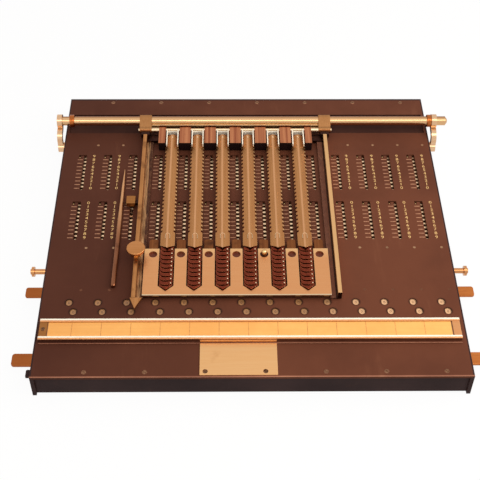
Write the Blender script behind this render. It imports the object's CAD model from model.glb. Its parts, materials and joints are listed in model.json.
import json
import math

import bmesh
import bpy
from mathutils import Matrix, Vector


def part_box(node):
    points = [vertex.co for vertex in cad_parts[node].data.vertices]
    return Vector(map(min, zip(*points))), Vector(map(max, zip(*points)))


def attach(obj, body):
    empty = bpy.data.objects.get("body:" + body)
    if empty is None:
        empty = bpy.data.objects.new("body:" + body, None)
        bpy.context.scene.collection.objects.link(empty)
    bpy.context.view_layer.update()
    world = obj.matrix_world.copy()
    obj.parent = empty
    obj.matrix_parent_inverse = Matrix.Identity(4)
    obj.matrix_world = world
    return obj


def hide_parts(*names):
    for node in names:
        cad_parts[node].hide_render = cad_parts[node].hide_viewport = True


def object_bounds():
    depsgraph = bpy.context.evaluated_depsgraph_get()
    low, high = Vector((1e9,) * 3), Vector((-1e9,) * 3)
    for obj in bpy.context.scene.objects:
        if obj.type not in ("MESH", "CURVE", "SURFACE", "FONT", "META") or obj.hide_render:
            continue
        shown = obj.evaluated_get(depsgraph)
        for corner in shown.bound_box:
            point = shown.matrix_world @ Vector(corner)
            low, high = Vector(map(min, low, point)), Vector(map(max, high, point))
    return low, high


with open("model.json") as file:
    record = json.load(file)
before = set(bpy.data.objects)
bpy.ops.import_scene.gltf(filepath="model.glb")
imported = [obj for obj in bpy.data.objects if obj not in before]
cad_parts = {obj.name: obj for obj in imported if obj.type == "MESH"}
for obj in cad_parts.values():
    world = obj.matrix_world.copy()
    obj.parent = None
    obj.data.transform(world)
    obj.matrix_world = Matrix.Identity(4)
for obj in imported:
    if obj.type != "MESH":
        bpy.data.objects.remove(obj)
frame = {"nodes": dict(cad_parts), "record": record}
cad_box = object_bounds()
nodes = frame["nodes"]
bodies = frame["record"]["behaviour"]["bodies"]
body_of_node = {node: body for body, names in bodies.items() for node in names}

MM = 0.001
COLUMNS = 14
BARS = 6
DIGITS = 10
COLUMN_PITCH = 30 * MM
RACKS = ["rack_%02d" % number for number in range(1, COLUMNS + 1)]
BAR_NAMES = ["bar_%d" % number for number in range(1, BARS + 1)]

# Places on the board, worked out from the racks that lie under it
TOP_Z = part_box("top_plate")[1].z
TOP_THICKNESS = 3 * MM
TOOTH_PITCH = 6 * MM
TOOTH_REACH = 2.2 * MM
RACK_FRONT_TO_WINDOW = 8.7 * MM
WINDOW_ROW_GAP = 12.4 * MM
WINDOW_TO_FIRST_TOOTH = 92.1 * MM
SLOT_ROW_GAP = 78 * MM
SLOT_X = [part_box(name)[0].x + TOOTH_REACH for name in RACKS]
FRONT_WINDOW_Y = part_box("rack_01")[0].y + RACK_FRONT_TO_WINDOW
REAR_WINDOW_Y = FRONT_WINDOW_Y + WINDOW_ROW_GAP
FRONT_TOOTH_Y = REAR_WINDOW_Y + WINDOW_TO_FIRST_TOOTH
REAR_TOOTH_Y = FRONT_TOOTH_Y + SLOT_ROW_GAP

# Windows and carry hooks, measured from a column's slot and its first tooth
FRONT_WINDOW_X = 8.0 * MM
REAR_WINDOW_X = 2.7 * MM
WINDOW_R = 4 * MM
HOOK_REACH = 6.6 * MM
FIRST_TOOTH_TO_HOOK = 52.6 * MM

# Shape of a bar: its roof, from the middle outwards, and its plain front end
BAR_HALF_W = 7.8 * MM
BAR_FLAT = 1.3 * MM
BAR_FALL = 4.4 / 6.5
BAR_PLAIN_L = 26 * MM

RULER_END_L = 8 * MM

# Slack for sorting faces by their place, and the turn at which an edge counts as sharp
NEAR = 0.05 * MM
SHARP = math.radians(35)


# Camera

def place_camera():
    """The photograph's view: down on the board from the front, nearly straight on."""
    place = Vector((-25.6, -814.25, 881.7)) * MM
    pitch = math.radians(47.31)
    yaw = math.radians(1.10)
    roll = math.radians(0.69)
    forward = Vector((math.sin(yaw) * math.cos(pitch), math.cos(yaw) * math.cos(pitch), -math.sin(pitch)))
    level = Vector((math.cos(yaw), -math.sin(yaw), 0))
    upright = level.cross(forward)
    right = math.cos(roll) * level + math.sin(roll) * upright
    up = -math.sin(roll) * level + math.cos(roll) * upright
    bpy.ops.object.camera_add()
    camera = bpy.context.object
    camera.name = "photo_camera"
    camera.matrix_world = Matrix.Translation(place) @ Matrix((right, up, -forward)).transposed().to_4x4()
    camera.data.sensor_width = 36
    camera.data.lens = 78.75
    camera.data.clip_start = 0.01
    bpy.context.scene.camera = camera


# Modelling helpers

def deselect():
    bpy.ops.object.select_all(action="DESELECT")


def activate(piece):
    deselect()
    piece.select_set(True)
    bpy.context.view_layer.objects.active = piece


def settle(piece, name):
    """Names a piece and moves its place into its mesh."""
    activate(piece)
    piece.name = name
    bpy.ops.object.transform_apply(location=True, rotation=True, scale=True)
    return piece


def start_box(name, low, high):
    """A cube at its size and place, to be shaped further."""
    deselect()
    low, high = Vector(low), Vector(high)
    bpy.ops.mesh.primitive_cube_add(size=1, location=(low + high) / 2)
    piece = bpy.context.object
    piece.scale = high - low
    return settle(piece, name)


def start_disc(name, base_z, radius, height, sides):
    """A short upright cylinder over the origin, to be shaped further."""
    deselect()
    middle = (0, 0, base_z + height / 2)
    bpy.ops.mesh.primitive_cylinder_add(vertices=sides, radius=radius, depth=height, location=middle)
    return settle(bpy.context.object, name)


def edit(piece):
    activate(piece)
    bpy.ops.object.mode_set(mode="EDIT")


def leave():
    bpy.ops.object.mode_set(mode="OBJECT")


def pick_faces(piece, wanted):
    """In edit mode, selects the faces for which wanted(face) holds."""
    mesh = bmesh.from_edit_mesh(piece.data)
    bpy.ops.mesh.select_all(action="DESELECT")
    bpy.ops.mesh.select_mode(type="FACE")
    for face in mesh.faces:
        face.select_set(bool(wanted(face)))
    bmesh.update_edit_mesh(piece.data)


def slice_off(piece, place, normal):
    """Cuts a piece through and throws away what lies behind the cut."""
    edit(piece)
    bpy.ops.mesh.select_all(action="SELECT")
    bpy.ops.mesh.bisect(plane_co=place, plane_no=normal, use_fill=True, clear_inner=True)
    leave()
    return piece


def middle_y(node):
    """The middle of a node from front to rear."""
    low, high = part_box(node)
    return (low.y + high.y) / 2


def across_x(x):
    """A cut from front to rear at x, for score."""
    return (x, 0, 0), (1, 0, 0)


def across_y(y):
    """A cut from left to right at y, for score."""
    return (0, y, 0), (0, 1, 0)


def score(piece, cuts):
    """Divides a piece's faces along planes, each a point and a normal, so that they can be painted apart."""
    for place, normal in cuts:
        edit(piece)
        bpy.ops.mesh.select_all(action="SELECT")
        bpy.ops.mesh.bisect(plane_co=place, plane_no=normal)
        leave()
    return piece


def faces_front(face):
    return face.normal.y < -0.7


def faces_up(face):
    return face.normal.z > 0.3


def stands_upright(face):
    return abs(face.normal.z) < 0.5


def paint(piece, material, wanted):
    """Gives a further material to the faces for which wanted(face) holds."""
    piece.data.materials.append(material)
    index = len(piece.data.materials) - 1
    for face in piece.data.polygons:
        if wanted(face):
            face.material_index = index


def sink_top(piece, margin, depth):
    """Insets a piece's top face and pushes it down or, with a negative depth, up."""
    top = max(corner[2] for corner in piece.bound_box)
    edit(piece)
    pick_faces(piece, lambda face: faces_up(face) and face.calc_center_median().z > top - NEAR)
    bpy.ops.mesh.inset(thickness=margin)
    bpy.ops.transform.translate(value=(0, 0, -depth))
    leave()
    return piece


def ease(piece, width, segments=2):
    """Rounds over the sharp edges and smooths what is rounded."""
    activate(piece)
    bevel = piece.modifiers.new("eased_edges", "BEVEL")
    bevel.width = width
    bevel.segments = segments
    bevel.limit_method = "ANGLE"
    bevel.angle_limit = SHARP
    bpy.ops.object.modifier_apply(modifier=bevel.name)
    bpy.ops.object.shade_smooth_by_angle(angle=SHARP)
    flats = piece.modifiers.new("flat_faces", "WEIGHTED_NORMAL")
    flats.weight = 100
    flats.keep_sharp = True
    bpy.ops.object.modifier_apply(modifier=flats.name)
    return piece


def merged_copy(node, name):
    """A copy of a node's solid with its triangles joined into faces."""
    piece = bpy.data.objects.new(name, nodes[node].data.copy())
    bpy.context.scene.collection.objects.link(piece)
    edit(piece)
    bpy.ops.mesh.customdata_custom_splitnormals_clear()
    bpy.ops.mesh.select_all(action="SELECT")
    bpy.ops.mesh.remove_doubles(threshold=0.002 * MM)
    bpy.ops.mesh.dissolve_limited(angle_limit=math.radians(1))
    leave()
    return piece


def eased_node(node, width, cuts=()):
    """A node's solid with its edges rounded over, which stands for the node."""
    piece = ease(score(merged_copy(node, node + "_eased"), cuts), width)
    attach(piece, body_of_node[node])
    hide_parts(node)
    return piece


def shift(piece, place):
    """Moves a piece within its mesh, so that its object stays at the origin."""
    piece.data.transform(Matrix.Translation(place))


def copy_at(piece, place):
    """A copy of a piece with its own mesh, moved by place."""
    twin = piece.copy()
    twin.data = piece.data.copy()
    shift(twin, place)
    bpy.context.scene.collection.objects.link(twin)
    return twin


def gather(pieces, name):
    """Joins pieces into one."""
    deselect()
    for piece in pieces:
        piece.select_set(True)
    bpy.context.view_layer.objects.active = pieces[0]
    bpy.ops.object.join()
    pieces[0].name = name
    pieces[0].data.name = name
    return pieces[0]


def repeat(piece, places, name):
    """One piece made of copies of a model, which is used up."""
    joined = gather([copy_at(piece, place) for place in places], name)
    bpy.data.objects.remove(piece)
    return joined


def finish_piece(piece, material, body):
    """Gives a new piece its finish and lets it ride on a body."""
    piece.data.materials.clear()
    piece.data.materials.append(material)
    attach(piece, body)
    return piece


# Material helpers

def srgb(red, green, blue):
    """A colour given as 0 to 255, as the shader wants it."""
    def linear(value):
        value /= 255
        return value / 12.92 if value <= 0.04045 else ((value + 0.055) / 1.055) ** 2.4
    return linear(red), linear(green), linear(blue), 1.0


def add(tree, kind, values=None, **settings):
    """A shader node with its settings and input values."""
    node = tree.nodes.new(kind)
    for key, value in settings.items():
        setattr(node, key, value)
    for key, value in (values or {}).items():
        node.inputs[key].default_value = value
    return node


def new_group(name, inputs, outputs):
    """A shader node group with named sockets: {name: default} in, {name: kind} out."""
    tree = bpy.data.node_groups.new(name, "ShaderNodeTree")
    for key, default in inputs.items():
        kind = "NodeSocketVector" if isinstance(default, tuple) else "NodeSocketFloat"
        socket = tree.interface.new_socket(key, in_out="INPUT", socket_type=kind)
        socket.default_value = default
    for key, kind in outputs.items():
        tree.interface.new_socket(key, in_out="OUTPUT", socket_type=kind)
    return tree, tree.nodes.new("NodeGroupInput"), tree.nodes.new("NodeGroupOutput")


def make_mottle():
    """Soft patches from 0 to 1, for stains and uneven colour."""
    inputs = {"Scale": 20.0, "Stretch": (1.0, 1.0, 1.0), "Low": 0.35, "High": 0.65}
    tree, given, out = new_group("mottle", inputs, {"Mask": "NodeSocketFloat"})
    place = add(tree, "ShaderNodeTexCoord")
    stretch = add(tree, "ShaderNodeVectorMath", operation="MULTIPLY")
    noise = add(tree, "ShaderNodeTexNoise", {"Detail": 5.0, "Roughness": 0.6})
    spread = add(tree, "ShaderNodeMapRange", interpolation_type="SMOOTHSTEP")
    link = tree.links.new
    link(place.outputs["Object"], stretch.inputs[0])
    link(given.outputs["Stretch"], stretch.inputs[1])
    link(stretch.outputs[0], noise.inputs["Vector"])
    link(given.outputs["Scale"], noise.inputs["Scale"])
    link(noise.outputs["Fac"], spread.inputs["Value"])
    link(given.outputs["Low"], spread.inputs["From Min"])
    link(given.outputs["High"], spread.inputs["From Max"])
    link(spread.outputs["Result"], out.inputs["Mask"])
    return tree


def make_edge_wear():
    """Where an edge has been rubbed, from 0 to 1."""
    inputs = {"Radius": 0.8 * MM, "Gain": 4.0, "Patch Scale": 160.0}
    tree, given, out = new_group("edge_wear", inputs, {"Mask": "NodeSocketFloat"})
    rounded = add(tree, "ShaderNodeBevel", samples=4)
    surface = add(tree, "ShaderNodeNewGeometry")
    agree = add(tree, "ShaderNodeVectorMath", operation="DOT_PRODUCT")
    turned = add(tree, "ShaderNodeMath", {0: 1.0}, operation="SUBTRACT")
    gain = add(tree, "ShaderNodeMath", operation="MULTIPLY")
    place = add(tree, "ShaderNodeTexCoord")
    noise = add(tree, "ShaderNodeTexNoise", {"Detail": 3.0})
    patches = add(tree, "ShaderNodeMapRange", {"From Min": 0.3, "From Max": 0.65})
    mask = add(tree, "ShaderNodeMath", operation="MULTIPLY", use_clamp=True)
    link = tree.links.new
    link(given.outputs["Radius"], rounded.inputs["Radius"])
    link(rounded.outputs["Normal"], agree.inputs[0])
    link(surface.outputs["Normal"], agree.inputs[1])
    link(agree.outputs["Value"], turned.inputs[1])
    link(turned.outputs[0], gain.inputs[0])
    link(given.outputs["Gain"], gain.inputs[1])
    link(place.outputs["Object"], noise.inputs["Vector"])
    link(given.outputs["Patch Scale"], noise.inputs["Scale"])
    link(noise.outputs["Fac"], patches.inputs["Value"])
    link(gain.outputs[0], mask.inputs[0])
    link(patches.outputs["Result"], mask.inputs[1])
    link(mask.outputs[0], out.inputs["Mask"])
    return tree


MOTTLE = make_mottle()
EDGE_WEAR = make_edge_wear()


def mask_from(tree, group, values):
    """The mask of a node group that is placed with its own values."""
    node = tree.nodes.new("ShaderNodeGroup")
    node.node_tree = group
    for key, value in values.items():
        node.inputs[key].default_value = value
    return node.outputs["Mask"]


def blend_colours(tree, mask, first, second):
    """A mix of two colours, each a colour value or the socket of one, by a mask socket."""
    mix = add(tree, "ShaderNodeMix", data_type="RGBA")
    tree.links.new(mask, mix.inputs["Factor"])
    for colour, socket in ((first, mix.inputs["A"]), (second, mix.inputs["B"])):
        if isinstance(colour, tuple):
            socket.default_value = colour
        else:
            tree.links.new(colour, socket)
    return mix.outputs["Result"]


def scaled(tree, mask, low, high):
    """A mask socket turned into a value from low to high."""
    spread = add(tree, "ShaderNodeMapRange", {"To Min": low, "To Max": high})
    tree.links.new(mask, spread.inputs["Value"])
    return spread.outputs["Result"]


def new_material(name, **values):
    """A material with its tree and its shader, and values on the shader's own sockets."""
    material = bpy.data.materials.new(name)
    material.use_nodes = True
    shader = material.node_tree.nodes["Principled BSDF"]
    for key, value in values.items():
        shader.inputs[key.replace("_", " ")].default_value = value
    return material, material.node_tree, shader


def bump_from(tree, shader, height, depth):
    """Lets a height socket dent the surface by depth."""
    bump = add(tree, "ShaderNodeBump", {"Strength": 0.6, "Distance": depth})
    tree.links.new(height, bump.inputs["Height"])
    tree.links.new(bump.outputs["Normal"], shader.inputs["Normal"])


def lacquer(name, deep, light, rubbed, rough, shine=0.12, patch_scale=9.0, scuff_scale=60.0, scuff=0.2):
    """Old stoving lacquer: uneven brown, a faint orange-peel skin and rubbed edges."""
    material, tree, shader = new_material(name, IOR=1.5, Specular_IOR_Level=shine)
    scuff_values = {"Scale": scuff_scale, "Stretch": (1.0, 0.2, 1.0), "Low": 0.58, "High": 0.8}
    patches = mask_from(tree, MOTTLE, {"Scale": patch_scale, "Low": 0.3, "High": 0.7})
    specks = mask_from(tree, MOTTLE, {"Scale": 700.0, "Low": 0.25, "High": 0.75})
    scuffs = mask_from(tree, MOTTLE, scuff_values)
    wear = mask_from(tree, EDGE_WEAR, {"Radius": 0.6 * MM, "Gain": 2.0})
    colour = blend_colours(tree, patches, deep, light)
    colour = blend_colours(tree, scaled(tree, scuffs, 0.0, scuff), colour, rubbed)
    colour = blend_colours(tree, wear, colour, rubbed)
    tree.links.new(colour, shader.inputs["Base Color"])
    tree.links.new(scaled(tree, patches, rough + 0.07, rough - 0.05), shader.inputs["Roughness"])
    bump_from(tree, shader, specks, 0.02 * MM)
    return material


def metal(name, light, deep, stain, rough, brush=(1.0, 1.0, 1.0), stain_low=0.55, brush_scale=500.0,
          rubbed=None, wear_r=0.4 * MM, wear_gain=2.0, dent=0.004 * MM, metallic=1.0):
    """Aged metal: brushed grain, darker stains and bright rubbed edges."""
    material, tree, shader = new_material(name, Metallic=metallic)
    grain_values = {"Scale": brush_scale, "Stretch": brush, "Low": 0.25, "High": 0.75}
    grain = mask_from(tree, MOTTLE, grain_values)
    stains = mask_from(tree, MOTTLE, {"Scale": 45.0, "Low": stain_low, "High": stain_low + 0.25})
    wear = mask_from(tree, EDGE_WEAR, {"Radius": wear_r, "Gain": wear_gain})
    colour = blend_colours(tree, grain, deep, light)
    colour = blend_colours(tree, stains, colour, stain)
    colour = blend_colours(tree, wear, colour, rubbed or light)
    tree.links.new(colour, shader.inputs["Base Color"])
    tree.links.new(scaled(tree, grain, rough + 0.05, rough - 0.03), shader.inputs["Roughness"])
    bump_from(tree, shader, grain, dent)
    return material


def ivory_plate(name):
    """Yellowed ivory with a faint grain along its length."""
    material, tree, shader = new_material(name, Roughness=0.4, IOR=1.5)
    grain_values = {"Scale": 300.0, "Stretch": (0.05, 1.0, 1.0), "Low": 0.3, "High": 0.7}
    grain = mask_from(tree, MOTTLE, grain_values)
    patches = mask_from(tree, MOTTLE, {"Scale": 14.0, "Low": 0.3, "High": 0.75})
    colour = blend_colours(tree, patches, srgb(240, 171, 88), srgb(250, 190, 106))
    colour = blend_colours(tree, scaled(tree, grain, 0.0, 0.25), colour, srgb(222, 158, 80))
    tree.links.new(colour, shader.inputs["Base Color"])
    bump_from(tree, shader, grain, 0.01 * MM)
    return material


def painted(name, colour, worn):
    """A thin fill of paint or ink, worn in places."""
    material, tree, shader = new_material(name, Roughness=0.55)
    patches = mask_from(tree, MOTTLE, {"Scale": 400.0, "Low": 0.35, "High": 0.75})
    tree.links.new(blend_colours(tree, patches, colour, worn), shader.inputs["Base Color"])
    return material


def recolour(material, mask_of, colour, share=1.0):
    """Lays a share of a colour over a finish where the mask that mask_of(tree) makes is high."""
    tree = material.node_tree
    base = tree.nodes["Principled BSDF"].inputs["Base Color"]
    below = base.links[0].from_socket
    mask = scaled(tree, mask_of(tree), 0.0, share)
    tree.links.new(blend_colours(tree, mask, below, colour), base)
    return mask


def spots(first, step, reach):
    """A maker of masks with a soft spot at first and every step from there, reach wide to either side."""
    chain = [("SUBTRACT", Vector(first) - Vector(step) / 2), ("DIVIDE", step), ("FRACTION", None),
             ("SUBTRACT", (0.5, 0.5, 0.5)), ("MULTIPLY", step), ("DIVIDE", reach), ("MULTIPLY", (1, 1, 0))]

    def mask_of(tree):
        place = add(tree, "ShaderNodeTexCoord").outputs["Object"]
        for operation, operand in chain:
            values = {} if operand is None else {1: operand}
            node = add(tree, "ShaderNodeVectorMath", values, operation=operation)
            tree.links.new(place, node.inputs[0])
            place = node.outputs[0]
        far = add(tree, "ShaderNodeVectorMath", operation="LENGTH")
        fade = {"From Min": 1.0, "From Max": 0.5}
        soft = add(tree, "ShaderNodeMapRange", fade, interpolation_type="SMOOTHSTEP")
        tree.links.new(place, far.inputs[0])
        tree.links.new(far.outputs["Value"], soft.inputs["Value"])
        return soft.outputs["Result"]
    return mask_of


def beyond(axis, start, end):
    """A maker of masks that rise from 0 at start to 1 at end along an axis of the object."""
    def mask_of(tree):
        place = add(tree, "ShaderNodeTexCoord")
        split = add(tree, "ShaderNodeSeparateXYZ")
        reach = {"From Min": start, "From Max": end}
        rise = add(tree, "ShaderNodeMapRange", reach, interpolation_type="SMOOTHSTEP")
        tree.links.new(place.outputs["Object"], split.inputs[0])
        tree.links.new(split.outputs[axis], rise.inputs["Value"])
        return rise.outputs["Result"]
    return mask_of


def both(first, second):
    """A maker of masks that are high only where the masks of two makers are."""
    def mask_of(tree):
        product = add(tree, "ShaderNodeMath", operation="MULTIPLY")
        tree.links.new(first(tree), product.inputs[0])
        tree.links.new(second(tree), product.inputs[1])
        return product.outputs[0]
    return mask_of


# Finishes: lacquers are given as deep, light and rubbed colours, metals as light, deep and stained ones

ALONG_Y = (1.0, 0.04, 1.0)
ALONG_X = (0.04, 1.0, 1.0)
STREAKS = (1.0, 0.05, 1.0)
STRIPES = (1.0, 0.01, 0.05)

board_lacquer = lacquer(
    "chocolate_lacquer", srgb(92, 53, 39), srgb(106, 62, 45), srgb(150, 100, 74), rough=0.5, shine=0.06)
front_lacquer = lacquer(
    "black_brown_lacquer", srgb(46, 30, 30), srgb(60, 38, 36), srgb(104, 68, 58), rough=0.5, shine=0.1)
rubbed_lacquer = lacquer(
    "rubbed_lacquer", srgb(136, 88, 70), srgb(170, 116, 92), srgb(206, 156, 126), rough=0.4)
trough_lacquer = lacquer(
    "trough_lacquer", srgb(62, 38, 33), srgb(78, 49, 41), srgb(100, 64, 52), rough=0.6, shine=0.04)
strip_lacquer = lacquer(
    "strip_lacquer", srgb(56, 34, 28), srgb(96, 62, 46), srgb(206, 156, 116), rough=0.55, shine=0.06,
    patch_scale=130.0, scuff_scale=420.0, scuff=0.9)
foot_lacquer = lacquer(
    "foot_lacquer", srgb(28, 18, 19), srgb(38, 24, 24), srgb(74, 46, 38), rough=0.55, shine=0.05)

bar_brass = metal(
    "bar_brass", srgb(184, 129, 79), srgb(172, 117, 69), srgb(145, 92, 52), rough=0.36,
    brush=ALONG_Y, stain_low=0.62, rubbed=srgb(226, 195, 149), wear_gain=4.0)
plate_brass = metal(
    "rose_brass", srgb(214, 153, 103), srgb(210, 148, 98), srgb(201, 138, 88), rough=0.42,
    brush=ALONG_X, stain_low=0.6, rubbed=srgb(231, 201, 157), wear_r=0.8 * MM, dent=0.001 * MM)
name_brass = metal(
    "pale_brass", srgb(228, 178, 124), srgb(223, 171, 115), srgb(207, 151, 96), rough=0.42,
    brush=ALONG_X, stain_low=0.66)
rail_brass = metal(
    "rail_brass", srgb(194, 135, 83), srgb(166, 110, 64), srgb(112, 69, 39), rough=0.34,
    brush=ALONG_Y, stain_low=0.52)
knob_brass = metal(
    "knob_brass", srgb(192, 131, 81), srgb(181, 121, 70), srgb(148, 94, 53), rough=0.4,
    brush=ALONG_X, stain_low=0.66)
tab_brass = metal(
    "tab_brass", srgb(166, 110, 60), srgb(152, 99, 52), srgb(117, 74, 39), rough=0.42,
    brush=ALONG_X, stain_low=0.62)
bright_brass = metal(
    "bright_brass", srgb(227, 190, 134), srgb(214, 171, 112), srgb(154, 103, 57), rough=0.2,
    brush=ALONG_X, stain_low=0.68)
rod_brass = metal(
    "rod_brass", srgb(217, 175, 129), srgb(210, 164, 117), srgb(179, 125, 78), rough=0.22,
    brush=ALONG_X, stain_low=0.7, dent=0.001 * MM)
push_brass = metal(
    "push_brass", srgb(210, 151, 100), srgb(192, 131, 83), srgb(135, 81, 46), rough=0.24,
    brush=ALONG_X, stain_low=0.66)
white_brass = metal(
    "white_brass", srgb(223, 200, 166), srgb(219, 192, 153), srgb(203, 164, 119), rough=0.3,
    brush=ALONG_X, stain_low=0.7, dent=0.001 * MM)
cream_brass = metal(
    "cream_brass", srgb(255, 250, 236), srgb(255, 244, 224), srgb(250, 222, 184), rough=0.35,
    brush=ALONG_Y, stain_low=0.7, dent=0.001 * MM, metallic=0.2)
arm_brass = metal(
    "arm_brass", srgb(221, 183, 146), srgb(213, 168, 127), srgb(173, 116, 75), rough=0.22,
    brush=ALONG_X, stain_low=0.66)
block_brass = metal(
    "matt_brass", srgb(169, 120, 76), srgb(159, 110, 67), srgb(129, 85, 52), rough=0.48,
    brush=ALONG_Y, stain_low=0.64)
tooth_brass = metal(
    "pale_tooth_brass", srgb(250, 216, 176), srgb(236, 196, 154), srgb(196, 148, 106), rough=0.36)

slide_copper = metal(
    "slide_copper", srgb(196, 119, 61), srgb(178, 103, 51), srgb(135, 73, 36), rough=0.42,
    brush=ALONG_X, stain_low=0.6)
comb_copper = metal(
    "striped_copper", srgb(201, 132, 90), srgb(145, 76, 51), srgb(127, 60, 43), rough=0.34,
    brush=STRIPES, stain_low=0.6, brush_scale=420.0)
collar_copper = metal(
    "collar_copper", srgb(186, 108, 55), srgb(159, 85, 39), srgb(99, 51, 26), rough=0.3)

streak_bronze = metal(
    "streaked_bronze", srgb(214, 162, 112), srgb(63, 37, 27), srgb(53, 33, 26), rough=0.4,
    brush=STREAKS, stain_low=0.6, brush_scale=750.0)
rib_bronze = metal(
    "browned_bronze", srgb(130, 56, 36), srgb(98, 42, 28), srgb(60, 27, 21), rough=0.3,
    stain_low=0.6, rubbed=srgb(214, 128, 82), wear_r=0.7 * MM, wear_gain=4.0)
hole_bronze = metal(
    "hole_bronze", srgb(116, 66, 52), srgb(94, 53, 43), srgb(66, 39, 33), rough=0.5)
web_bronze = metal(
    "dark_web", srgb(70, 42, 34), srgb(50, 30, 26), srgb(34, 22, 20), rough=0.45)
tongue_bronze = metal(
    "olive_bronze", srgb(135, 81, 45), srgb(114, 65, 36), srgb(75, 43, 27), rough=0.4,
    brush=ALONG_Y, stain_low=0.5)
stylus_bronze = metal(
    "stylus_bronze", srgb(150, 96, 66), srgb(124, 78, 54), srgb(84, 50, 36), rough=0.34,
    brush=ALONG_Y, stain_low=0.56)

column_steel = metal(
    "column_steel", srgb(123, 79, 58), srgb(101, 63, 46), srgb(75, 45, 34), rough=0.45)
fleck_steel = metal(
    "fleck_steel", srgb(185, 146, 112), srgb(148, 108, 79), srgb(94, 63, 46), rough=0.36)
dull_steel = metal(
    "dull_steel", srgb(135, 97, 70), srgb(95, 65, 46), srgb(53, 34, 27), rough=0.36)
cover_steel = metal(
    "cover_steel", srgb(155, 113, 86), srgb(115, 79, 58), srgb(75, 49, 36), rough=0.32)
bed_steel = metal(
    "blackened_steel", srgb(52, 38, 32), srgb(34, 25, 22), srgb(20, 15, 14), rough=0.5)

ruler_ivory = ivory_plate("yellowed_ivory")
gilt_paint = painted("gilt_paint", srgb(255, 216, 146), srgb(232, 184, 114))
faded_line = painted("faded_line", srgb(184, 132, 98), srgb(140, 92, 68))
brown_ink = painted("brown_ink", srgb(192, 124, 62), srgb(228, 166, 92))
black_ink = painted("black_ink", srgb(60, 36, 26), srgb(110, 74, 50))


# Age and wear that follow a piece's own places

def rub_ribs():
    """Bright glints on the right shoulders of the ribs."""
    rib_pitch = 6 * MM
    shoulder_x, shoulder_y = 5.3 * MM, 3.6 * MM
    glint_reach = (0.75 * MM, 1.0 * MM, 1)
    first_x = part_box("bar_1")[0].x + BAR_HALF_W + shoulder_x
    first_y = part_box("core_rails")[0].y + shoulder_y
    glints = spots((first_x, first_y, 0), (COLUMN_PITCH, rib_pitch, 1), glint_reach)
    recolour(rib_bronze, glints, srgb(255, 226, 184))


def rub_bars():
    """Rubbed tips on the right-hand teeth of the bars, and a paler line along their ridges."""
    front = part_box("bar_1")[0]
    notch_to_tip, tip_inset = 4.5 * MM, 0.7 * MM
    tip_reach = (0.7 * MM, 0.9 * MM, 1)
    teeth_y = front.y + BAR_PLAIN_L
    first_tip = (front.x + 2 * BAR_HALF_W - tip_inset, teeth_y + notch_to_tip, 0)
    tips = spots(first_tip, (COLUMN_PITCH, TOOTH_PITCH, 1), tip_reach)
    behind_plain = beyond("Y", teeth_y, teeth_y + 0.5 * MM)
    recolour(bar_brass, both(tips, behind_plain), srgb(221, 185, 135))
    ridge_shift, ridge_half_w, whole_length = 0.5 * MM, 1.3 * MM, 10
    first_ridge = (front.x + BAR_HALF_W - ridge_shift, 0, 0)
    ridges = spots(first_ridge, (COLUMN_PITCH, 1, 1), (ridge_half_w, whole_length, 1))
    recolour(bar_brass, ridges, srgb(216, 160, 116), share=0.7)


def age_board():
    """The board darkest on the left, and grimy round its windows."""
    case_left, grime_r = -220 * MM, 6.2 * MM
    recolour(board_lacquer, beyond("X", 0.0, case_left), srgb(68, 38, 31), share=0.6)
    columns_x = SLOT_X[0] - grime_r
    in_columns = beyond("X", columns_x - 1 * MM, columns_x)
    for window_x, window_y in ((REAR_WINDOW_X, REAR_WINDOW_Y), (FRONT_WINDOW_X, FRONT_WINDOW_Y)):
        first_window = (SLOT_X[0] + window_x, window_y, 0)
        grime = spots(first_window, (COLUMN_PITCH, 1, 1), (grime_r, grime_r, 1))
        recolour(board_lacquer, both(grime, in_columns), srgb(38, 22, 19), share=0.9)


def paint_figure_strips():
    """The racks' figure strips painted, so they do not mirror what is round them, and paler on the right."""
    strip_z, painted_metallic = 27.5 * MM, 0.2
    on_strip = beyond("Z", strip_z - 0.1 * MM, strip_z)
    mask = recolour(tooth_brass, on_strip, srgb(166, 119, 77))
    tree = tooth_brass.node_tree
    shader = tree.nodes["Principled BSDF"]
    tree.links.new(scaled(tree, mask, 1.0, painted_metallic), shader.inputs["Metallic"])
    on_right = beyond("X", 50 * MM, 130 * MM)
    recolour(tooth_brass, both(on_strip, on_right), srgb(232, 184, 140), share=0.85)


def darken_ruler_ends():
    """Dark joints where the ivory meets the blocks at its ends."""
    low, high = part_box("ruler_end_blocks")
    left, right = low.x + RULER_END_L, high.x - RULER_END_L
    joint_brown = srgb(96, 50, 26)
    recolour(ruler_ivory, beyond("X", left + 1.2 * MM, left + 0.6 * MM), joint_brown, share=0.9)
    recolour(ruler_ivory, beyond("X", right - 1.6 * MM, right - 0.9 * MM), joint_brown, share=0.9)


def age_carriage():
    """The front plate paler at its rear, the right rail and strip paler than the left, with a dark joint."""
    plate_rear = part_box("front_plate")[1].y
    recolour(plate_brass, beyond("Y", plate_rear - 16 * MM, plate_rear), srgb(231, 189, 134), share=0.6)
    on_right = beyond("X", 50 * MM, 80 * MM)
    recolour(rail_brass, on_right, srgb(228, 182, 127), share=0.75)
    recolour(strip_lacquer, on_right, srgb(136, 90, 74), share=0.5)
    strip_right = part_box("rail_strips")[1].x
    beside_rail = beyond("X", strip_right - 1.9 * MM, strip_right - 1.2 * MM)
    recolour(strip_lacquer, beside_rail, srgb(36, 21, 18), share=0.9)


def age_rods():
    """The slide bars browner on the left, the stylus paler to its point, the guide rod tarnished behind."""
    recolour(slide_copper, beyond("X", -200 * MM, -235 * MM), srgb(152, 82, 39), share=0.8)
    stylus_y, rod_y = middle_y("stylus"), middle_y("guide_rod")
    to_point = beyond("Y", stylus_y - 30 * MM, stylus_y + 40 * MM)
    recolour(stylus_bronze, to_point, srgb(214, 160, 112), share=0.85)
    recolour(rod_brass, beyond("Y", rod_y - 1.6 * MM, rod_y + 1.4 * MM), srgb(148, 95, 54))


# Nodes

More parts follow.
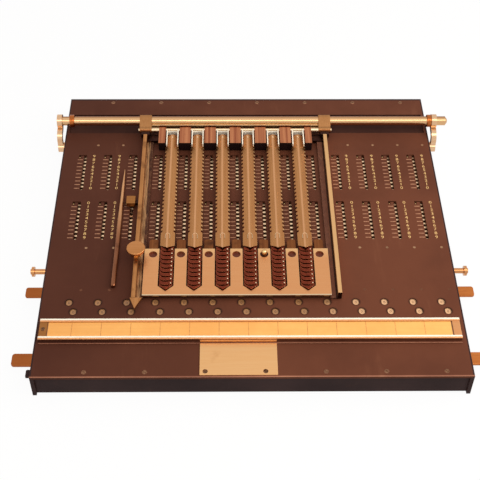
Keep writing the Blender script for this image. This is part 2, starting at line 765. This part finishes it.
NODE_FINISH = {
    "base_plate": front_lacquer, "left_cheek": front_lacquer, "right_cheek": front_lacquer,
    "front_wall": front_lacquer, "rear_wall": front_lacquer, "rack_bed": bed_steel,
    "top_plate": board_lacquer, "rear_cover": board_lacquer, "ruler_channel": board_lacquer,
    "ruler_rails": cream_brass, "ruler_end_blocks": tab_brass, "ruler": ruler_ivory,
    "nameplate": name_brass, "cover_screws": cover_steel, "column_screws": fleck_steel,
    "guide_rod": rod_brass, "left_rod_arm": arm_brass, "right_rod_arm": arm_brass,
    "rod_collars": collar_copper, "catch_lug": front_lacquer, "front_slide_bar": slide_copper,
    "rear_slide_bar": slide_copper, "push_rod": push_brass, "stylus": stylus_bronze,
    "carriage_blocks": block_brass, "tie_bar": white_brass, "hinge_rod": white_brass,
    "hinge_comb": comb_copper, "left_rail": rail_brass, "right_rail": rail_brass,
    "rail_strips": strip_lacquer, "cross_bars": tongue_bronze, "front_plate": plate_brass,
    "core_rails": rib_bronze, "bar_guides": cream_brass, "knob_base": bright_brass,
    "thumb_knob": knob_brass, "pointer": rail_brass, "lifting_tab": tab_brass,
    "decimal_peg": bright_brass,
}
NODE_FINISH.update({name: tooth_brass for name in RACKS})
NODE_FINISH.update({name: bar_brass for name in BAR_NAMES})

# Nodes of one finish, with the width of their rounded edges in millimetres
EASED = {
    "left_cheek": 0.4, "right_cheek": 0.4, "ruler": 0.2, "nameplate": 0.15, "front_slide_bar": 0.5,
    "rear_slide_bar": 0.5, "left_rod_arm": 0.6, "right_rod_arm": 0.6, "tie_bar": 0.3, "pointer": 0.4,
    "knob_base": 0.4, "rod_collars": 0.5, "bar_guides": 0.25, "core_rails": 0.3, "thumb_knob": 0.3,
    "catch_lug": 0.4,
}


def finish_nodes():
    """Every node in its finish, before copies are taken."""
    for name, node in nodes.items():
        node.data.materials.clear()
        node.data.materials.append(NODE_FINISH[name])


def ease_nodes():
    """Rounded copies for the nodes that keep their one finish."""
    for node, width in EASED.items():
        eased_node(node, width * MM)


def dress_top():
    """The board with dark rims along its sides, a rubbed front edge and dark walls in its windows."""
    low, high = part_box("top_plate")
    rim, rubbed = 1.6 * MM, 1.6 * MM
    cuts = [across_x(low.x + rim), across_x(high.x - rim), across_y(low.y + rubbed)]
    board = eased_node("top_plate", 0.3 * MM, cuts)
    paint(board, front_lacquer, lambda face: abs(face.center.x) > high.x - rim)
    paint(board, rubbed_lacquer, lambda face: face.center.y < low.y + rubbed and faces_up(face))
    front, rear = FRONT_WINDOW_Y - WINDOW_R, REAR_WINDOW_Y + WINDOW_R
    paint(board, bed_steel, lambda face: stands_upright(face) and front < face.center.y < rear)


def dress_rear():
    """The rear cover with a dark trough and dark rims."""
    low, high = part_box("rear_cover")
    rim, rear_rim = 1.6 * MM, 2.6 * MM
    left, right, rear = low.x + rim, high.x - rim, high.y - rear_rim
    trough_z = high.z - 0.5 * MM
    cover = eased_node("rear_cover", 0.3 * MM, [across_x(left), across_x(right), across_y(rear)])
    paint(cover, trough_lacquer, lambda face: face.center.z < trough_z and face.normal.z > -0.5)
    paint(cover, front_lacquer, lambda face: abs(face.center.x) > right or face.center.y > rear)


def dress_column_screws():
    """The small screws at the ends of the columns, dull in the front row."""
    front_row_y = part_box("column_screws")[0].y + 3 * MM
    screws = eased_node("column_screws", 0.1 * MM)
    paint(screws, column_steel, lambda face: face.center.y < front_row_y)


def dress_plate():
    """The front plate with a bright rubbed front edge."""
    rubbed_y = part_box("front_plate")[0].y + 1.3 * MM
    plate = eased_node("front_plate", 0.6 * MM, [across_y(rubbed_y)])
    paint(plate, white_brass, lambda face: face.center.y < rubbed_y)


def dress_comb():
    """The hinge comb with a dark web under its bright fingers, and dark finger ends."""
    web_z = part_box("core_rails")[0].z + 0.1 * MM
    end_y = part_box("hinge_comb")[0].y + 0.2 * MM
    comb = eased_node("hinge_comb", 0.3 * MM)
    paint(comb, web_bronze, lambda face: face.center.z < web_z)
    paint(comb, foot_lacquer, lambda face: faces_front(face) and face.center.y < end_y)


def finger_spans():
    """Where the comb's fingers start and end: those between two bars, then the narrow ones at both ends."""
    finger_w, end_finger_w = 13.3 * MM, 8 * MM
    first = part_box("bar_1")[0].x + BAR_HALF_W + COLUMN_PITCH / 2
    middles = [first + number * COLUMN_PITCH for number in range(BARS - 1)]
    spans = [(middle - finger_w / 2, middle + finger_w / 2) for middle in middles]
    left = spans[0][1] - COLUMN_PITCH
    right = spans[-1][0] + COLUMN_PITCH
    return spans + [(left - end_finger_w, left), (right, right + end_finger_w)]


def fit_finger_feet():
    """Dark feet under the front ends of the comb's fingers, just clear of the board."""
    low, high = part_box("hinge_comb")
    finger_t, overlap, clear = 3.4 * MM, 0.1 * MM, 0.7 * MM
    front, rear = low.y + 0.3 * MM, low.y + 5 * MM
    bottom, top = TOP_Z + clear, high.z - finger_t + overlap
    feet = [start_box("finger_foot", (left, front, bottom), (right, rear, top))
            for left, right in finger_spans()]
    finish_piece(ease(gather(feet, "finger_feet"), 0.4 * MM), foot_lacquer, "carriage")


def dress_rails():
    """The side rails with dark heads at the hinge and dark front ends."""
    head_l = 5 * MM
    for name in ("left_rail", "right_rail"):
        head_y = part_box(name)[1].y - head_l
        rail = eased_node(name, 0.4 * MM, [across_y(head_y)])
        paint(rail, web_bronze, lambda face: face.center.y > head_y - NEAR or faces_front(face))


def dress_strips():
    """The dark strips inside the rails, with bright streaks where the left one meets its rail."""
    streak_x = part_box("rail_strips")[0].x + 4.4 * MM
    strips = eased_node("rail_strips", 0.3 * MM, [across_x(streak_x)])
    paint(strips, streak_bronze, lambda face: face.center.x < streak_x)


def dress_blocks():
    """The carriage blocks with browned front faces, and the ruler's end blocks, the right one brighter."""
    blocks = eased_node("carriage_blocks", 0.5 * MM)
    paint(blocks, tongue_bronze, faces_front)
    ends = eased_node("ruler_end_blocks", 0.4 * MM)
    paint(ends, plate_brass, lambda face: face.center.x > 0)


def dress_channel():
    """The ruler's channel with a rubbed edge along its front ledge."""
    rubbed_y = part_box("ruler_channel")[0].y + 0.8 * MM
    channel = eased_node("ruler_channel", 0.3 * MM, [across_y(rubbed_y)])
    paint(channel, rubbed_lacquer, lambda face: face.center.y < rubbed_y and faces_up(face))


def dress_ruler_rails():
    """The two rails along the ruler, cream above and golden along their front edges."""
    low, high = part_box("ruler_rails")
    rail_w, golden = 4.1 * MM, 1.5 * MM
    front_edge = low.y + golden
    rear_edge = high.y - rail_w + golden
    between = low.y + rail_w
    rails = eased_node("ruler_rails", 0.5 * MM, [across_y(front_edge), across_y(rear_edge)])
    paint(rails, plate_brass, lambda face: face.center.y < front_edge or between < face.center.y < rear_edge)


def dress_cross_bars():
    """The cross bars dark under the front plate and olive on the tongues behind it."""
    plate_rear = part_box("front_plate")[1].y
    bars = eased_node("cross_bars", 0.3 * MM, [across_y(plate_rear)])
    paint(bars, hole_bronze, lambda face: face.center.y < plate_rear)


def dress_peg():
    """The decimal peg, dark where it plugs its hole."""
    plug_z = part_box("decimal_peg")[0].z + 1.0 * MM
    peg = eased_node("decimal_peg", 0.1 * MM)
    paint(peg, web_bronze, lambda face: face.center.z < plug_z + NEAR)


def dress_tab():
    """The lifting tab with a dark arm."""
    arm_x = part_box("lifting_tab")[1].x - 3.6 * MM
    tab = eased_node("lifting_tab", 0.5 * MM, [across_x(arm_x)])
    paint(tab, web_bronze, lambda face: face.center.x > arm_x)


# Marks on the board

def digit(figure, height, depth, widen, bold):
    """One numeral as a thin solid, centred on the origin."""
    size_for_height = 1.37
    deselect()
    bpy.ops.object.text_add()
    text = bpy.context.object
    text.data.body = str(figure)
    text.data.align_x = "CENTER"
    text.data.align_y = "CENTER"
    text.data.size = height * size_for_height
    text.data.resolution_u = 2
    text.data.extrude = depth / 2
    text.data.offset = bold * height
    bpy.ops.object.convert(target="MESH")
    text = bpy.context.object
    text.scale.x = widen
    return settle(text, "digit_%s" % figure)


def digit_run(height, depth, figures, name, widen=1.0, bold=0.0):
    """Numerals set one behind the other, a tooth pitch apart."""
    made = []
    for place, figure in enumerate(figures):
        one = digit(figure, height, depth, widen, bold)
        shift(one, (0, place * TOOTH_PITCH, 0))
        made.append(one)
    return gather(made, name)


def number_columns():
    """Gilt numerals beside every stylus slot, rising in the rear row and falling in the front one."""
    digit_reach, height, depth = 10.3 * MM, 4.3 * MM, 0.1 * MM
    widen, bold = 1.2, -0.012
    rising = digit_run(height, depth, range(DIGITS), "rising_digits", widen, bold)
    falling = digit_run(height, depth, range(DIGITS - 1, -1, -1), "falling_digits", widen, bold)
    upper = repeat(rising, [(x + digit_reach, REAR_TOOTH_Y, TOP_Z) for x in SLOT_X], "upper_digits")
    lower = repeat(falling, [(x + digit_reach, FRONT_TOOTH_Y, TOP_Z) for x in SLOT_X], "lower_digits")
    finish_piece(upper, gilt_paint, "case")
    finish_piece(lower, gilt_paint, "case")


def rule_columns():
    """Faded guide lines from the teeth of every slot to the left."""
    line_w, depth, start, end = 1.1 * MM, 0.1 * MM, -8.6 * MM, -2.6 * MM
    line = start_box("guide_line", (start, -line_w / 2, -depth / 2), (end, line_w / 2, depth / 2))
    places = [(x, y + number * TOOTH_PITCH, TOP_Z)
              for x in SLOT_X for y in (FRONT_TOOTH_Y, REAR_TOOTH_Y) for number in range(DIGITS - 1)]
    finish_piece(repeat(line, places, "guide_lines"), faded_line, "case")


def number_racks():
    """Figures on each rack, which pass under its two windows one by one."""
    height, depth = 3.4 * MM, 0.08 * MM
    for name, x in zip(RACKS, SLOT_X):
        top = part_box(name)[1].z
        rear = digit_run(height, depth, range(DIGITS), "rear_figures")
        shift(rear, (x + REAR_WINDOW_X, REAR_WINDOW_Y, top))
        front = digit_run(height, depth, range(DIGITS), "front_figures")
        shift(front, (x + FRONT_WINDOW_X, FRONT_WINDOW_Y, top))
        finish_piece(gather([rear, front], name + "_figures"), black_ink, name)


def divide_ruler():
    """Fine division lines across the ivory, one to a column."""
    low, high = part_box("ruler")
    line_w, depth, margin, line_reach = 0.6 * MM, 0.06 * MM, 0.4 * MM, 9.6 * MM
    front, rear = low.y + margin, high.y - margin
    line = start_box("ruler_line", (-line_w / 2, front, -depth), (line_w / 2, rear, depth))
    places = [(x + line_reach, 0, high.z) for x in SLOT_X if x + line_reach < high.x]
    finish_piece(repeat(line, places, "ruler_lines"), brown_ink, "case")


# Small fittings

def slotted_head(name, radius, height, slot_w):
    """A screw head with a slot, its underside on the origin."""
    sides, slot_turn = 20, math.radians(50)
    base_h, half_z = height * 0.6, height * 0.5
    base = start_disc("head_base", 0, radius, base_h, sides)
    halves = []
    for side in (1, -1):
        half = start_disc("head_half", half_z, radius, height - half_z, sides)
        slice_off(half, (side * slot_w / 2, 0, 0), (side, 0, 0))
        halves.append(half)
    head = ease(gather([base] + halves, name), 0.15 * MM, segments=1)
    head.data.transform(Matrix.Rotation(slot_turn, 4, "Z"))
    return head


def fit_cover_screws():
    """Slotted heads for the cover screws, darker on the nameplate."""
    low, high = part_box("cover_screws")
    screws, pitch, radius, sunk = 7, 60 * MM, 2.5 * MM, 1.1 * MM
    head = slotted_head("cover_head", radius, height=1.2 * MM, slot_w=0.7 * MM)
    rows = (low.y + radius, high.y - radius)
    places = [(low.x + radius + number * pitch, y, TOP_Z - sunk) for number in range(screws) for y in rows]
    heads = finish_piece(repeat(head, places, "cover_heads"), cover_steel, "case")
    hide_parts("cover_screws")
    left, right = (corner.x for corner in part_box("nameplate"))
    paint(heads, dull_steel, lambda face: face.center.y < 0 and left < face.center.x < right)


def fit_ruler_screw():
    """The slotted head on the ruler's left end block."""
    low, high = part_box("ruler_end_blocks")
    sunk = 0.5 * MM
    head = slotted_head("ruler_head", radius=2.2 * MM, height=1.0 * MM, slot_w=0.6 * MM)
    shift(head, (low.x + RULER_END_L / 2, middle_y("ruler_end_blocks"), high.z - sunk))
    finish_piece(head, dull_steel, "case")


def stud_hooks():
    """A bright stud in the short leg of every carry hook."""
    radius, shank, point, point_inset = 0.95 * MM, 2.08 * MM, 0.52 * MM, 0.35 * MM
    stud = sink_top(start_disc("hook_stud", 0, radius, shank, sides=12), point_inset, -point)
    places = [(x - HOOK_REACH, y + FIRST_TOOTH_TO_HOOK, TOP_Z - TOP_THICKNESS)
              for x in SLOT_X for y in (FRONT_TOOTH_Y, REAR_TOOTH_Y)]
    finish_piece(repeat(stud, places, "hook_studs"), bright_brass, "case")


def drape_on_roof(piece, ridge_z):
    """Lets a flat outline follow a bar's flat ridge and slopes."""
    for corner in piece.data.vertices:
        corner.co.z = ridge_z - max(0.0, abs(corner.co.x) - BAR_FLAT) * BAR_FALL


def arch_outline(half_w, leg):
    """A wire arch open to the front, its round top to the rear."""
    deselect()
    bpy.ops.mesh.primitive_circle_add(vertices=24, radius=half_w, fill_type="NOTHING")
    wire = settle(bpy.context.object, "arch_wire")
    slice_off(wire, (0, 0, 0), (0, 1, 0))
    edit(wire)
    bpy.ops.mesh.select_mode(type="VERT")
    mesh = bmesh.from_edit_mesh(wire.data)
    for corner in mesh.verts:
        corner.select_set(corner.co.y < NEAR)
    mesh.select_flush_mode()
    bmesh.update_edit_mesh(wire.data)
    bpy.ops.mesh.extrude_vertices_move(TRANSFORM_OT_translate={"value": (0, -leg, 0)})
    leave()
    return wire


def bar_arch(ridge_z):
    """The raised arch of a bar's plain front end, over the origin."""
    half_w, leg, line_r = 2.4 * MM, 5.0 * MM, 0.36 * MM
    wire = arch_outline(half_w, leg)
    drape_on_roof(wire, ridge_z)
    activate(wire)
    bpy.ops.object.convert(target="CURVE")
    wire = bpy.context.object
    wire.data.bevel_depth = line_r
    wire.data.bevel_resolution = 1
    bpy.ops.object.convert(target="MESH")
    return bpy.context.object


def mark_bars():
    """A raised arch on every bar's plain front end and a small screw at its rear."""
    arch_from_tip, dot_from_end = 19 * MM, 5 * MM
    dot_r, dot_h, dot_sunk = 1.0 * MM, 0.6 * MM, 0.3 * MM
    hollow_inset, hollow_depth = 0.3 * MM, 0.2 * MM
    for name in BAR_NAMES:
        low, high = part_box(name)
        middle = (low.x + high.x) / 2
        arch = bar_arch(high.z)
        shift(arch, (middle, low.y + arch_from_tip, 0))
        dot = sink_top(start_disc("bar_dot", 0, dot_r, dot_h, sides=16), hollow_inset, hollow_depth)
        shift(dot, (middle, high.y - dot_from_end, high.z - dot_sunk))
        finish_piece(gather([arch, dot], name + "_marks"), white_brass, name)


# Studio

WHITE = (1, 1, 1, 1)
LOW_SKY = (0.17, 0.14, 0.12, 1)
HIGH_SKY = (0.86, 0.80, 0.73, 1)
FLOOR_GREY = (0.5, 0.48, 0.46, 1)
FLOOR_WHITE = (0.96, 0.96, 0.96, 1)


def soft_lamp(name, place, aim, size, watts, colour):
    """A rectangular lamp that is turned to what it lights."""
    bpy.ops.object.light_add(type="AREA", location=place)
    lamp = bpy.context.object
    lamp.name = name
    lamp.data.shape = "RECTANGLE"
    lamp.data.size, lamp.data.size_y = size
    lamp.data.energy = watts
    lamp.data.color = colour
    lamp.rotation_euler = (Vector(aim) - Vector(place)).to_track_quat("-Z", "Y").to_euler()


def sees_background(tree):
    """A socket that is 1 for rays in which the white background shows: the camera's and mirrored ones."""
    path = add(tree, "ShaderNodeLightPath")
    seen = path.outputs["Is Camera Ray"]
    for ray in ("Is Glossy Ray", "Is Transmission Ray"):
        either = add(tree, "ShaderNodeMath", operation="MAXIMUM")
        tree.links.new(seen, either.inputs[0])
        tree.links.new(path.outputs[ray], either.inputs[1])
        seen = either.outputs[0]
    return seen


def shade_world(scene):
    """A sky that lights most from above the rear and little from low down, and shows as white."""
    brightest = (0.25, 0.45, 0.86)
    world = bpy.data.worlds.new("studio")
    scene.world = world
    world.use_nodes = True
    tree = world.node_tree
    sky = tree.nodes["Background"]
    place = add(tree, "ShaderNodeTexCoord")
    toward = add(tree, "ShaderNodeVectorMath", {1: brightest}, operation="DOT_PRODUCT")
    reach = {"From Min": -0.1, "From Max": 0.95}
    level = add(tree, "ShaderNodeMapRange", reach, interpolation_type="SMOOTHSTEP")
    link = tree.links.new
    link(place.outputs["Generated"], toward.inputs[0])
    link(toward.outputs["Value"], level.inputs["Value"])
    tone = blend_colours(tree, level.outputs["Result"], LOW_SKY, HIGH_SKY)
    link(blend_colours(tree, sees_background(tree), tone, WHITE), sky.inputs["Color"])


def lay_floor():
    """A pale floor that shows as white with a faint shadow."""
    floor_w, gap, white_share = 8, 0.2 * MM, 0.95
    deselect()
    bpy.ops.mesh.primitive_plane_add(size=floor_w, location=(0, 0, cad_box[0][2] - gap))
    floor = settle(bpy.context.object, "floor")
    material, tree, shader = new_material("pale_floor", Roughness=0.9)
    white = add(tree, "ShaderNodeEmission", {"Color": WHITE, "Strength": 1.0})
    seen = sees_background(tree)
    share = add(tree, "ShaderNodeMath", {1: white_share}, operation="MULTIPLY")
    show = add(tree, "ShaderNodeMixShader")
    link = tree.links.new
    link(blend_colours(tree, seen, FLOOR_GREY, FLOOR_WHITE), shader.inputs["Base Color"])
    link(seen, share.inputs[0])
    link(share.outputs[0], show.inputs["Fac"])
    link(shader.outputs[0], show.inputs[1])
    link(white.outputs[0], show.inputs[2])
    link(show.outputs[0], tree.nodes["Material Output"].inputs["Surface"])
    floor.data.materials.append(material)


def build_studio():
    """Two soft lamps, the sky and the floor."""
    scene = bpy.context.scene
    scene.view_settings.view_transform = "Standard"
    soft_lamp("overhead_box", place=(0.2, -0.62, 1.15), aim=(0, 0, 0.03), size=(1.8, 0.45), watts=7,
              colour=(1.0, 0.95, 0.88))
    soft_lamp("right_window", place=(0.85, -0.05, 0.55), aim=(0.1, 0, 0.03), size=(0.5, 0.5), watts=4.5,
              colour=(1.0, 0.94, 0.86))
    shade_world(scene)
    lay_floor()


place_camera()
rub_ribs()
rub_bars()
age_board()
paint_figure_strips()
darken_ruler_ends()
age_carriage()
age_rods()
finish_nodes()
ease_nodes()
dress_top()
dress_rear()
dress_column_screws()
dress_plate()
dress_comb()
fit_finger_feet()
dress_rails()
dress_strips()
dress_blocks()
dress_channel()
dress_ruler_rails()
dress_cross_bars()
dress_peg()
dress_tab()
number_columns()
rule_columns()
number_racks()
divide_ruler()
fit_cover_screws()
fit_ruler_screw()
stud_hooks()
mark_bars()
build_studio()
